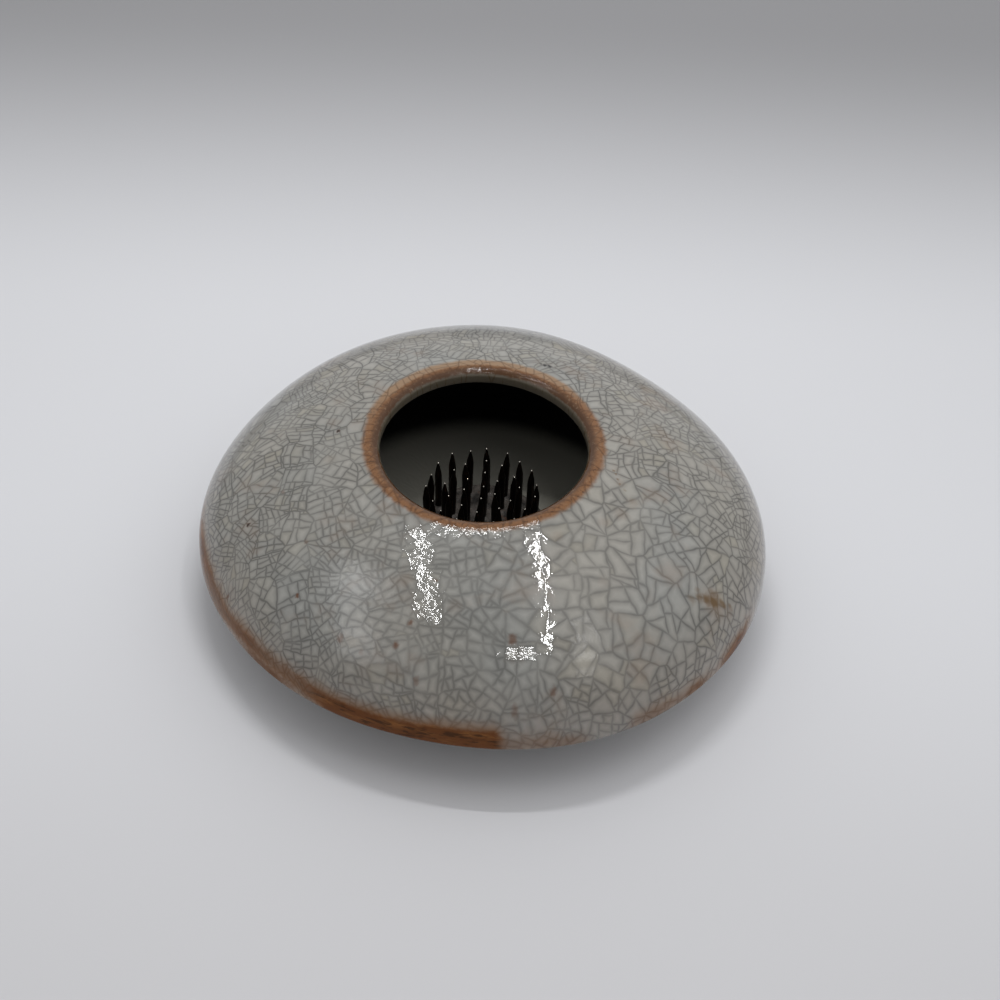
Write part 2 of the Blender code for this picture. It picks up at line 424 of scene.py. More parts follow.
glaze = {
    # colours as seen under plain light
    "cell": (146, 143, 136), "beigeCell": (146, 140, 124), "coolCell": (141, 141, 137),
    "crack": (54, 53, 51), "stainedCrack": (80, 64, 44),
    # rimPaleAndSheen serves the lip's own pale specks and a painted highlight on its crest at the back
    "rim": (121, 83, 52), "rimDark": (76, 50, 31), "rimPaleAndSheen": (156, 134, 108), "neck": (94, 87, 75),
    "band": (104, 63, 35), "bandDark": (58, 36, 22), "bandPale": (142, 94, 54), "wash": (130, 92, 60),
    "blot": (96, 72, 40), "spot": (92, 60, 40), "fleck": (20, 17, 15),
    # inside is the hollow's pale floor; ceiling is near black, painted shade on the hollow's walls and
    # ceiling
    "inside": (130, 128, 119), "ceiling": (5, 5, 5),
    # how far cells differ in brightness, the grain in them, and their shade at the edge and higher up
    "cellSwing": 0.13, "grain": 0.20, "edgeShade": 1.04, "upperShade": 0.93,
    # crackle
    "blockSize": 6.2,           # mm between the first cracks
    "blockChance": 0.7,         # 1 is a wild pattern, 0 is a lattice
    "blockReach": 1.3,          # side of the square that is cut, in block sizes
    "cutShift": 0.32, "cutTilt": 0.46,      # how far a cut strays from the middle and from square
    "cellLimit": (1.65, 1.1),   # mm, strips narrower than this are left whole, and its swing
    "cutDepths": [1.0, 0.95, 0.9, 0.85, 0.75],      # darkness of each round of cuts
    "bends": [(0.05, 7.0), (0.32, 1.1)],    # how the cracks wander: waves in a mm, and mm
    # half the width of a crack's line and of the dull edge beside it, in mm, and how much each darkens the
    # glaze: thin and sharp in most places, soft under the thick glaze at the front
    "sharpCrack": {"line": 0.19, "lineShare": 0.8, "edge": 0.8, "edgeShare": 0.27},
    "softCrack": {"line": 0.43, "lineShare": 0.27, "edge": 1.3, "edgeShare": 0.38},
    "thickGlaze": {"centre": (4.0, -42.0), "reach": 46.0},      # mm on the crackle map
    # how much the cells grow at one place, towards one side, round the rim and at the edge
    "largeCells": {"centre": (24.0, -38.0), "reach": 25.0, "growth": 1.55},
    "coarseSide": -50.0, "sideGrowth": 0.24,    # the side's azimuth in degrees
    "rimGrowth": 0.5, "edgeGrowth": -0.2,
    "mapsMeet": -5.0,           # mm from the edge, where the map around the foot takes over
    # brown edge band: mm from its drawn outline to where its wash, its core and its dark heart start and
    # are full, and how far its outline wanders where it is faint and where it is strong
    "bandEdges": {"wash": (3.4, -0.4), "core": (0.9, -0.5), "heart": (0.2, -1.2), "wander": (3.4, 1.5)},
    # brown lip: mm from the rim's crest to its inner and outer limits and to the neck's grey, how ragged it
    # is, and how far it is drawn in at the back
    "lipEdges": {"inner": (-2.4, -1.7), "outer": (1.9, 0.6), "neck": (-0.8, -1.9),
                 "ragged": 1.5, "drawn": 1.0},
    "hollowShadeDepths": (53.5, 59.5), # mm down the inside, where the painted shade on the hollow's walls and ceiling gives way to its pale floor
    # gloss
    "roughness": 0.045, "shine": 0.5,
    "brownDulls": 0.92, "brownRoughens": 0.06, "clayRoughens": 0.5,
    "doming": 0.0105,           # mm, how far each cell stands up between its cracks
    "crackDepth": 0.004,        # mm
    "peel": [(0.9, 0.0065), (2.2, 0.0075)],     # ripples in the glaze: waves in a mm, and height in mm
}

# brown band on the edge: (azimuth, mm above the edge, half its thickness, strength)
edgeBand = [
    (-180, 3.6, 2.6, 0.35), (-168, 2.6, 3.6, 0.95), (-160, 2.6, 3.4, 0.85), (-153, 2.8, 2.6, 0.70),
    (-147, 3.4, 1.2, 0.74), (-140, 3.8, 1.1, 0.82), (-132, 3.6, 1.0, 0.66), (-125, 3.2, 1.3, 0.70),
    (-118, 1.7, 2.0, 1.0), (-108, 1.5, 2.1, 1.0), (-98, 1.7, 2.3, 1.0),
    (-86, 2.0, 2.3, 1.0), (-84.2, 1.6, 1.7, 0.7), (-83.6, 1.3, 1.0, 0.45), (-78, 1.2, 0.7, 0.50),
    (-70, 0.9, 0.4, 0.45), (-67, 0.4, 0.1, 0.0), (-61, 0.4, 0.1, 0.0), (-59, 1.3, 0.8, 0.45),
    (-55, 1.5, 1.0, 0.60), (-49, 1.2, 0.5, 0.55), (-44, 1.0, 0.6, 0.85),
    (-39, 0.8, 0.4, 0.3), (-34, 0.8, 1.3, 0.9), (-30, 0.6, 1.9, 1.0), (-28, 0.7, 1.6, 0.9),
    (-26, 1.8, 1.3, 0.6), (-23, 2.2, 0.6, 0.3), (-20, 1.5, 0.4, 0.0), (150, 1.5, 0.5, 0.0),
    (166, 3.2, 2.0, 0.2), (180, 3.6, 2.6, 0.35),
]

# a second thin brown line under the band, at the left of the front, in the same columns
lowerLine = [(-180, 0, 0.2, 0), (-168, 0.8, 0.5, 0.3), (-155, 0.8, 0.5, 0.35), (-146, 1.0, 0.4, 0.4),
             (-138, 0.8, 0.4, 0.75), (-132, 0.8, 0.7, 0.85), (-127, 0.6, 0.5, 0.5), (-121, -0.4, 0.3, 0.0),
             (180, 0, 0.2, 0)]

# iron spots: (azimuth, radius, size in mm, strength)
ironSpots = [
    (175.5, 29.7, 0.38, 1.0), (-159.1, 48.4, 0.42, 1.0), (-134.2, 48.4, 0.42, 1.0),
    (-119.7, 50.0, 0.7, 0.6), (-107.7, 47.8, 0.62, 0.85), (-105.8, 44.0, 0.6, 0.8),
    (-102.9, 35.8, 0.4, 0.7), (-101.6, 51.8, 0.6, 0.5), (-163.1, 40.7, 0.6, 0.45),
    (-143.2, 41.1, 0.5, 0.4), (-114.2, 50.4, 0.5, 0.35), (-149.5, 56.0, 0.4, 0.8),
    (-81.7, 45.4, 0.9, 0.75), (-74.6, 53.5, 0.7, 0.6), (-82.1, 54.8, 0.7, 0.5),
]

# black flecks: (azimuth, radius, size in mm, strength)
flecks = [
    (64.6, 28.9, 0.6, 1.0), (66.6, 28.7, 0.55, 1.0), (68.4, 28.6, 0.35, 0.8),
    (175.5, 29.7, 0.34, 0.9), (-159.1, 48.4, 0.38, 0.9),
]

# soft stains in the glaze: (azimuth, radius, size in mm, strength)
softStains = [
    (-33.4, 53.4, 2.6, 1.0), (-33.7, 31.7, 1.6, 0.5), (-41.3, 30.6, 1.3, 0.45), (-60.4, 28.3, 1.4, 0.5),
    (-95.8, 39.8, 1.6, 0.35), (-20.5, 28.0, 1.1, 0.6), (-112.5, 51.5, 2.0, 0.3), (-55.0, 40.0, 1.2, 0.3),
    (62.0, 33.0, 1.6, 0.3), (-170.0, 31.0, 1.3, 0.3),
]

# yellow-brown blots: (azimuth, radius, size in mm, strength)
blots = [
    (-33.3, 53.2, 1.15, 1.0), (-34.5, 52.2, 1.0, 0.9), (-35.8, 51.2, 0.95, 0.65), (-31.6, 54.4, 0.75, 0.8),
    (-30.2, 55.5, 0.6, 0.6), (-37.8, 50.6, 0.9, 0.4), (-35.0, 50.2, 0.7, 0.4), (-32.2, 52.6, 1.0, 0.5),
    (-15.0, 26.0, 0.35, 0.7), (-17.0, 26.6, 0.35, 0.8), (-19.0, 27.3, 0.4, 0.8), (-21.0, 28.2, 0.35, 0.6),
    (-23.0, 29.4, 0.35, 0.4), (-26.0, 32.0, 0.9, 0.2),
]


def crackle(tree, chart, values, lineWidth):
    # rounded blocks of glaze on the chart, each laid with a turned square that is cut again and again: a
    # cut runs across the middle of what is left, a little off and a little askew, first one way and then
    # the other, until the strip is narrower than its own limit. Returns the crack lines, the distance to
    # the nearest crack in mm, and a random colour for each cell
    bent = chart
    for waves, size in values["bends"]:
        bent = vec(tree, "ADD", bent, scaled(tree, strayNoise(tree, chart, waves, 1.0), size))
    block = {"Vector": bent, "Scale": 1 / values["blockSize"], "Randomness": values["blockChance"]}
    nearest = addNode(tree, "ShaderNodeTexVoronoi", block, feature="F1", voronoi_dimensions="2D")
    edge = addNode(tree, "ShaderNodeTexVoronoi", block, feature="DISTANCE_TO_EDGE", voronoi_dimensions="2D")
    nearestCrack = product(tree, edge.outputs["Distance"], values["blockSize"])
    middle, seed = nearest.outputs["Position"], nearest.outputs["Color"]
    turn = product(tree, partsOfColour(tree, seed)[0], math.pi)
    turned = addNode(tree, "ShaderNodeVectorRotate",
                     {"Vector": vec(tree, "SUBTRACT", bent, middle), "Angle": turn}, rotation_type="Z_AXIS")
    place = partsOf(tree, turned.outputs[0])

    # cells are larger at one place, round the rim and on one side, and vary from place to place
    big = values["largeCells"]
    grown = bell(tree, vec(tree, "DISTANCE", middle, (*big["centre"], 0.0)), big["reach"])
    uneven = fade(tree, noise(tree, middle, 0.07, 1.0), 0.3, 0.7, 0.8, 1.15)
    coarse = calc(tree, "MULTIPLY_ADD", grown, big["growth"], uneven)
    sideAngle = math.radians(values["coarseSide"])
    outermost = 60              # mm from the middle on the chart, where the side's growth is whole
    towards = (math.cos(sideAngle) / outermost, math.sin(sideAngle) / outermost, 0.0)
    side = vec(tree, "DOT_PRODUCT", middle, towards)
    coarse = calc(tree, "MULTIPLY_ADD", side, values["sideGrowth"], coarse)
    out = vec(tree, "LENGTH", middle)
    coarse = calc(tree, "ADD", coarse, fade(tree, out, 31.0, 25.0, 0.0, values["rimGrowth"]))
    coarse = calc(tree, "ADD", coarse, fade(tree, out, 50.0, 64.0, 0.0, values["edgeGrowth"]))

    line = fade(tree, nearestCrack, 0.0, lineWidth, 1.0, 0.0)
    half = values["blockSize"] * values["blockReach"] / 2
    low, high = [-half, -half], [half, half]
    narrow, narrowSwing = values["cellLimit"]
    uncut = 9.0                 # mm, a cut that isn't made is put this far away
    for level, depth in enumerate(values["cutDepths"]):
        way, across = level % 2, 1 - level % 2
        dice = partsOfColour(tree, whiteNoise(tree, seed))
        width = calc(tree, "SUBTRACT", high[way], low[way])
        off = calc(tree, "MULTIPLY_ADD", dice[0], values["cutShift"], 0.5 - values["cutShift"] / 2)
        cut = calc(tree, "MULTIPLY_ADD", off, width, low[way])
        centre = product(tree, calc(tree, "ADD", low[across], high[across]), 0.5)
        askew = calc(tree, "MULTIPLY_ADD", dice[1], values["cutTilt"], -values["cutTilt"] / 2)
        sideways = calc(tree, "SUBTRACT", place[across], centre)
        distance = calc(tree, "MULTIPLY_ADD", sideways, askew, calc(tree, "SUBTRACT", place[way], cut))
        limit = product(tree, calc(tree, "MULTIPLY_ADD", dice[2], narrowSwing, narrow), coarse)
        wide = calc(tree, "GREATER_THAN", width, limit)
        above = product(tree, calc(tree, "GREATER_THAN", distance, 0.0), wide)
        below = calc(tree, "SUBTRACT", wide, above)
        newLow = calc(tree, "MULTIPLY_ADD", calc(tree, "SUBTRACT", cut, low[way]), above, low[way])
        high[way] = calc(tree, "MULTIPLY_ADD", calc(tree, "SUBTRACT", cut, high[way]), below, high[way])
        low[way] = newLow
        missing = calc(tree, "MULTIPLY_ADD", wide, -uncut, uncut)
        apart = calc(tree, "ADD", calc(tree, "ABSOLUTE", distance), missing)
        nearestCrack = calc(tree, "MINIMUM", nearestCrack, apart)
        line = calc(tree, "MAXIMUM", line, fade(tree, apart, 0.0, lineWidth, depth, 0.0))
        # the seed moves on, to another place on each side of the cut
        step = vectorOf(tree, above, wide, 0.37 * (level + 1))
        seed = vec(tree, "MULTIPLY_ADD", step, (1.7, 0.9, 1.0), seed)
    return line, nearestCrack, whiteNoise(tree, seed)


def glazeMaterial(values):
    material, tree, shader = newMaterial("crackled_glaze")
    where = placeInMillimetres(tree)
    fromLip, fromEdge = attribute(tree, "fromLip"), attribute(tree, "fromEdge")
    insideDepth = attribute(tree, "insideDepth")
    colour = {key: seen(*value) for key, value in values.items()
              if isinstance(value, tuple) and len(value) == 3}

    # cells, each a little different
    under = calc(tree, "LESS_THAN", fromEdge, values["mapsMeet"])
    chart = addNode(tree, "ShaderNodeMix", {0: under, 4: attribute(tree, "upperMap", "Vector"),
                    5: attribute(tree, "lowerMap", "Vector")}, data_type="VECTOR").outputs[1]
    thick = values["thickGlaze"]
    thickness = bell(tree, vec(tree, "DISTANCE", chart, (*thick["centre"], 0.0)), thick["reach"])
    crackLook = {}
    for key, sharp in values["sharpCrack"].items():
        crackLook[key] = calc(tree, "MULTIPLY_ADD", thickness, values["softCrack"][key] - sharp, sharp)
    line, nearestCrack, random = crackle(tree, chart, values, crackLook["line"])
    halo = fade(tree, nearestCrack, 0.0, crackLook["edge"], 1.0, 0.0)
    dice = partsOfColour(tree, random)
    broad = noise(tree, where, 0.05, 2.0)
    fine = noise(tree, where, 0.8, 3.0, 0.6)
    cell = mixColours(tree, fade(tree, broad, 0.35, 0.7), colour["cell"], colour["coolCell"])
    beige = product(tree, fade(tree, dice[0], 0.72, 1.0), fade(tree, broad, 0.7, 0.4, 0.1, 0.38))
    cell = mixColours(tree, beige, cell, colour["beigeCell"])
    shade = fade(tree, fromEdge, 3.0, 17.0, values["edgeShade"], values["upperShade"])
    shade = calc(tree, "MULTIPLY_ADD", dice[1], values["cellSwing"], shade)
    shade = calc(tree, "MULTIPLY_ADD", calc(tree, "SUBTRACT", fine, 0.5), values["grain"], shade)
    grey = addNode(tree, "ShaderNodeCombineColor", {0: shade, 1: shade, 2: shade}).outputs[0]
    cell = mixColours(tree, 1.0, cell, grey, "MULTIPLY")
    cell = mixColours(tree, fade(tree, fromEdge, 18.0, 3.0, 0.0, 0.14), cell, colour["wash"])

    # stains: soft blots, which darken the cracks in them most
    stain = marked(tree, where, softStains)
    blotchy = fade(tree, noise(tree, where, 0.10, 3.0, 0.6), 0.54, 0.74, 0.0, 0.7)
    stain = calc(tree, "MAXIMUM", stain, blotchy)

    # cracks
    strength = fade(tree, noise(tree, where, 0.16, 3.0, 0.6), 0.3, 0.62, 0.55, 1.0)
    crackColour = mixColours(tree, stain, colour["crack"], colour["stainedCrack"])
    cell = mixColours(tree, product(tree, stain, 0.25), cell, colour["wash"])
    soft = product(tree, halo, strength, crackLook["edgeShare"])
    hard = product(tree, line, strength, crackLook["lineShare"])
    surface = mixColours(tree, soft, cell, crackColour)
    surface = mixColours(tree, hard, surface, crackColour)

    # brown band and lines on the edge: a dark streaked core in a soft wash that shows the cracks
    around = vec(tree, "MULTIPLY", where, (0.35, 0.35, 1.6))
    streaks = noise(tree, around, 0.9, 3.0, 0.6)
    cloudy = noise(tree, around, 0.45, 4.0, 0.65)
    ragged = calc(tree, "SUBTRACT", noise(tree, where, 0.45, 4.0, 0.65), 0.5)
    rusty, edges = 0.0, values["bandEdges"]
    for centre, half, ink in (("bandCentre", "bandHalf", "bandInk"), ("lineCentre", "lineHalf", "lineInk")):
        inked = attribute(tree, ink)
        away = calc(tree, "ABSOLUTE", calc(tree, "SUBTRACT", fromEdge, attribute(tree, centre)))
        away = calc(tree, "MULTIPLY_ADD", ragged, fade(tree, inked, 0.6, 1.0, *edges["wander"]), away)
        over = calc(tree, "SUBTRACT", away, attribute(tree, half))
        strong = product(tree, inked, fade(tree, inked, 0.5, 0.95, 0.25, 1.0))
        outer = product(tree, fade(tree, over, *edges["wash"]), inked)
        inner = product(tree, fade(tree, over, *edges["core"]), strong)
        pale = fade(tree, cloudy, 0.48, 0.62, 0.0, 0.75)
        dark = product(tree, fade(tree, over, *edges["heart"]), fade(tree, streaks, 0.46, 0.62, 0.0, 0.9))
        brown = mixColours(tree, pale, colour["band"], colour["bandPale"])
        brown = mixColours(tree, dark, brown, colour["bandDark"])
        surface = mixColours(tree, product(tree, outer, 0.72), surface, colour["wash"])
        surface = mixColours(tree, product(tree, inner, 0.94), surface, brown)
        rusty = calc(tree, "MAXIMUM", calc(tree, "MULTIPLY", outer, 1.5, clamp=True), rusty)

    # brown lip: dark at its inner side, washed out into the glaze, with dark and pale specks, and a painted
    # highlight along its crest at the back
    edges = values["lipEdges"]
    back = fade(tree, vec(tree, "DOT_PRODUCT", where, (-0.2, 1.0, 0.0)), 5.0, 20.0)
    lipNoise = calc(tree, "SUBTRACT", noise(tree, where, 0.45, 4.0, 0.7), 0.5)
    lipPlace = calc(tree, "MULTIPLY_ADD", lipNoise, edges["ragged"], fromLip)
    neck = fade(tree, lipPlace, *edges["neck"])
    surface = mixColours(tree, neck, surface, colour["neck"])
    surface = mixColours(tree, neckCracks(tree, where, fromLip, neck), surface, colour["stainedCrack"])
    outward = calc(tree, "MULTIPLY_ADD", back, -edges["drawn"], lipPlace)
    lip = product(tree, fade(tree, lipPlace, *edges["inner"]), fade(tree, outward, *edges["outer"]))
    mottled = noise(tree, where, 1.2, 4.0, 0.7)
    lipColour = mixColours(tree, fade(tree, lipPlace, -1.4, 0.2), colour["rimDark"], colour["rim"])
    lipColour = mixColours(tree, fade(tree, mottled, 0.53, 0.66, 0.0, 0.85), lipColour, colour["rimDark"])
    # painted highlight: the crest is paler at the back, where the light catches it; the pale specks beside
    # it are the lip's own mottling
    crest = product(tree, fade(tree, lipPlace, -0.3, 0.5), back, 0.55)
    crest = calc(tree, "MAXIMUM", crest, fade(tree, mottled, 0.46, 0.28, 0.0, 0.35))
    lipColour = mixColours(tree, crest, lipColour, colour["rimPaleAndSheen"])
    lipColour = mixColours(tree, product(tree, line, 0.6), lipColour, colour["rimDark"])
    surface = mixColours(tree, product(tree, lip, 0.96), surface, lipColour)
    rusty = calc(tree, "MAXIMUM", rusty, product(tree, lip, 0.6))

    # blots, iron spots and flecks
    surface = mixColours(tree, product(tree, marked(tree, where, blots), 0.95), surface, colour["blot"])
    surface = mixColours(tree, marked(tree, where, ironSpots), surface, colour["spot"])
    surface = mixColours(tree, marked(tree, where, flecks), surface, colour["fleck"])

    # the hollow: painted shade, near black up its walls and ceiling, and pale on its floor where light
    # falls in through the mouth
    deep = fade(tree, insideDepth, 0.0, 1.2)
    # painted shade: near black high in the hollow, pale low on its floor
    hollowFloorAndShade = fade(tree, insideDepth, *values["hollowShadeDepths"])
    hollowFloorAndShade = mixColours(tree, hollowFloorAndShade, colour["ceiling"], colour["inside"])
    surface = mixColours(tree, deep, surface, hollowFloorAndShade)
    tree.links.new(surface, shader.inputs["Base Color"])

    # the brown parts and the hollow are duller than the glaze
    shine = calc(tree, "MULTIPLY_ADD", rusty, -values["brownDulls"] * values["shine"], values["shine"])
    tree.links.new(shine, shader.inputs["Specular IOR Level"])
    rough = calc(tree, "MULTIPLY_ADD", rusty, values["brownRoughens"], values["roughness"])
    rough = calc(tree, "MULTIPLY_ADD", deep, values["clayRoughens"], rough)
    tree.links.new(rough, shader.inputs["Roughness"])
    height = product(tree, line, -values["crackDepth"])
    height = calc(tree, "MULTIPLY_ADD", halo, -values["doming"], height)
    for waves, rise in values["peel"]:
        height = calc(tree, "MULTIPLY_ADD", noise(tree, where, waves, 1.0), rise, height)
    bump(tree, shader, height)
    return material


def neckCracks(tree, where, fromLip, neck):
    # fine upright cracks in the neck: thin cells around the neck, stretched along its height
    parts = partsOf(tree, where)
    angle = calc(tree, "ARCTAN2", parts[1], parts[0])
    cellsInRadian, cellsInMillimetre = 9.0, 0.09
    strip = vectorOf(tree, product(tree, angle, cellsInRadian), product(tree, fromLip, cellsInMillimetre))
    cells = addNode(tree, "ShaderNodeTexVoronoi", {"Vector": strip, "Scale": 1.0},
                    feature="DISTANCE_TO_EDGE", voronoi_dimensions="2D")
    thin = fade(tree, cells.outputs["Distance"], 0.0, 0.07, 0.75, 0.0)
    return product(tree, thin, neck, fade(tree, noise(tree, where, 0.3, 1.0), 0.35, 0.6))


def marked(tree, where, spots):
    # round soft-edged marks, seen from above, each at an azimuth in degrees and a radius in mm, a little
    # ragged
    level = vec(tree, "MULTIPLY", where, (1.0, 1.0, 0.0))
    stray = vec(tree, "MULTIPLY", strayNoise(tree, where, 0.9, 2.0), (1.1, 1.1, 0.0))
    level = vec(tree, "ADD", level, stray)
    mask = 0.0
    for azimuth, radius, size, strength in spots:
        angle = math.radians(azimuth)
        apart = vec(tree, "DISTANCE", level, (radius * math.cos(angle), radius * math.sin(angle), 0.0))
        mask = calc(tree, "MAXIMUM", mask, fade(tree, apart, 0.2 * size, 1.4 * size, strength, 0.0))
    return mask


def bandMarks(angle, table, shape):
    # centre, half thickness and strength of a band at each azimuth, in straight runs between the rows of
    # the table
    degrees = (np.degrees(angle) + 180) % 360 - 180
    azimuth, *columns = np.array(table).T
    return [np.broadcast_to(np.interp(degrees, azimuth, column), shape) for column in columns]


def makeVase(values, glazeValues):
    low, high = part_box("vase_body")
    edgeRadius, crestHeight = high.x / millimetre, high.z / millimetre
    places, marks = vaseSurface(values, edgeRadius, crestHeight)
    angle = np.linspace(0, 2 * math.pi, values["around"], endpoint=False)
    shape = places.shape[:2]
    marks["bandCentre"], marks["bandHalf"], marks["bandInk"] = bandMarks(angle, edgeBand, shape)
    marks["lineCentre"], marks["lineHalf"], marks["lineInk"] = bandMarks(angle, lowerLine, shape)
    mesh = turnedMesh("glazed_vase", places * millimetre, marks)
    return addPiece("glazed_vase", mesh, glazeMaterial(glazeValues), "vase", "glaze", "vase_body")


# Pin holder

pinLook = {
    "taper": 3.6,               # mm, length of the sharpened end
    "tipRadius": 0.09,
    "fullness": 1.35,           # more is a blunter, rounder point
    "shankRing": 0.4,           # one more ring of the shank, as a share of its length
    "pointRows": 12, "around": 18,
    "dark": (30, 24, 21), "brown": (66, 44, 30), "bare": (226, 220, 208),
    "metallic": 0.85,
    "roughness": (0.26, 0.56),  # between the streaks and on them
    "polish": 0.2,              # how much smoother the bare tip is
    "streakRelief": 0.03,       # mm
}


def pinMaterial(values):
    material, tree, shader = newMaterial("oxidised_pin")
    where = placeInMillimetres(tree)
    streaks = noise(tree, vec(tree, "MULTIPLY", where, (3.2, 3.2, 0.22)), 1.0, 3.0, 0.6)
    patches = noise(tree, where, 0.7, 2.0)
    worn = fade(tree, attribute(tree, "fromTip"), 0.22, 0.05)
    brown = product(tree, fade(tree, streaks, 0.5, 0.68), fade(tree, patches, 0.35, 0.6))
    colour = mixColours(tree, brown, seen(*values["dark"]), seen(*values["brown"]))
    colour = mixColours(tree, worn, colour, seen(*values["bare"]))
    tree.links.new(colour, shader.inputs["Base Color"])
    shader.inputs["Metallic"].default_value = values["metallic"]
    smooth, dull = values["roughness"]
    rough = calc(tree, "MULTIPLY_ADD", streaks, dull - smooth, smooth)
    tree.links.new(calc(tree, "MULTIPLY_ADD", worn, -values["polish"], rough), shader.inputs["Roughness"])
    bump(tree, shader, product(tree, streaks, values["streakRelief"]))
    return material


def pinSurface(values, foot, tip, pinRadius):
    # a straight shank with a full point: past the shank the radius falls as (1 - t^fullness) from the pin's
    # to the tip's; the rings are laid across the axis from the foot to the tip
    axis = tip - foot
    length = np.linalg.norm(axis)
    axis = axis / length
    acrossX = np.cross([0, 1, 0], axis)
    acrossX /= np.linalg.norm(acrossX)
    acrossY = np.cross(axis, acrossX)
    t = np.linspace(0, 1, values["pointRows"])
    point = values["tipRadius"] + (pinRadius - values["tipRadius"]) * (1 - t ** values["fullness"])
    shank = length - values["taper"]
    pointAlong = length - values["taper"] * (1 - t)
    along = np.concatenate([[0, 0, values["shankRing"] * shank], pointAlong, [length]])
    radius = np.concatenate([[0, pinRadius, pinRadius], point, [0]])
    angle = np.linspace(0, 2 * math.pi, values["around"], endpoint=False)
    ring = np.cos(angle)[:, None] * acrossX + np.sin(angle)[:, None] * acrossY
    places = foot + along[:, None, None] * axis + radius[:, None, None] * ring[None]
    marks = {"fromTip": np.broadcast_to((length - along)[:, None], places.shape[:2])}
    return places, marks


def nodePoints(name):
    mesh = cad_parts[name].data
    points = np.empty(len(mesh.vertices) * 3, np.float32)
    mesh.vertices.foreach_get("co", points)
    return points.reshape(-1, 3).astype(float) / millimetre


def pinAxis(name):
    # the middle of the CAD pin's lower end, of its upper end, and its radius, from the points within a
    # tenth of a mm of the lower end and half of that of the upper end
    points = nodePoints(name)
    z = points[:, 2]
    lower = points[z < z.min() + 0.1]
    upper = points[z > z.max() - 0.05]
    foot = (lower.min(0) + lower.max(0)) / 2
    tip = (upper.min(0) + upper.max(0)) / 2
    radius = (lower[:, 0].max() - lower[:, 0].min()) / 2
    return foot, tip, radius


def makePins(values):
    material = pinMaterial(values)
    for name in sorted(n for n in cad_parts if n.startswith("kenzan_pin_")):
        places, marks = pinSurface(values, *pinAxis(name))
        mesh = turnedMesh(name + "_metal", places * millimetre, marks)
        addPiece(name + "_metal", mesh, material, "kenzan", "pin", name)


baseLook = {
    "rounding": 0.9,            # mm, at the upper corner
    "mound": 0.28,              # the lead stands up this much round each pin
    "moundWidth": 0.55,
    "lowerSoftness": 0.5,       # mm, at the lower corner
    "topRows": 60, "sideRows": 8, "cornerRows": 5, "around": 300,
    "lead": (88, 82, 77), "dark": (30, 27, 25), "rust": (92, 58, 38),
    "metallic": 0.35,
    "roughness": (0.42, 0.72),  # in the hollows of the grain and on it
    "castRelief": (0.12, 0.05), # mm, of the clouds and of the grain
}


def baseMaterial(values):
    material, tree, shader = newMaterial("cast_lead")
    where = placeInMillimetres(tree)
    cloudy = noise(tree, where, 0.35, 4.0, 0.65)
    grain = noise(tree, where, 2.4, 3.0, 0.6)
    colour = mixColours(tree, fade(tree, cloudy, 0.3, 0.65), seen(*values["dark"]), seen(*values["lead"]))
    rust = fade(tree, noise(tree, where, 0.5, 3.0, 0.7), 0.58, 0.72, 0.0, 0.6)
    colour = mixColours(tree, rust, colour, seen(*values["rust"]))
    tree.links.new(colour, shader.inputs["Base Color"])
    shader.inputs["Metallic"].default_value = values["metallic"]
    smooth, dull = values["roughness"]
    tree.links.new(calc(tree, "MULTIPLY_ADD", grain, dull - smooth, smooth), shader.inputs["Roughness"])
    cloudRise, grainRise = values["castRelief"]
    bump(tree, shader, calc(tree, "MULTIPLY_ADD", cloudy, cloudRise, product(tree, grain, grainRise)))
    return material


def makeBase(values):
    # a disc with a rounded upper corner; its top rises by mound exp(-(d / moundWidth)^2) at a distance d
    # from the nearest pin's side
    low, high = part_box("kenzan_base")
    radius, bottom, top = high.x / millimetre, low.z / millimetre, high.z / millimetre
    rounding = values["rounding"]
    upper = levelRun(0, radius - rounding, top, values["topRows"])[:-1]
    side = quarterArc((radius, top - rounding), (radius - rounding, top), 2, 2, values["sideRows"])[::-1]
    corner = roundedCorner((radius, top), (radius, bottom), (0, bottom),
                           values["lowerSoftness"], values["cornerRows"])
    rows = np.concatenate([upper, side, corner, [[0.6 * radius, bottom], [0, bottom]]])
    angle = np.linspace(0, 2 * math.pi, values["around"], endpoint=False)
    x = rows[:, :1] * np.cos(angle)
    y = rows[:, :1] * np.sin(angle)
    z = np.repeat(rows[:, 1:], len(angle), 1)
    nearest = np.full(x.shape, 1e9)
    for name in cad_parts:
        if name.startswith("kenzan_pin_"):
            foot, tip, pinRadius = pinAxis(name)
            atTop = foot + (tip - foot) * (top - foot[2]) / (tip[2] - foot[2])
            nearest = np.minimum(nearest, np.hypot(x - atTop[0], y - atTop[1]) - pinRadius)
    rise = values["mound"] * np.exp(-(np.maximum(nearest, 0) / values["moundWidth"]) ** 2)
    z = z + rise * (z > top - rounding)
    mesh = turnedMesh("kenzan_base_metal", np.stack([x, y, z], -1) * millimetre)
    return addPiece("kenzan_base_metal", mesh, baseMaterial(values), "kenzan", "lead", "kenzan_base")


# Floor and light

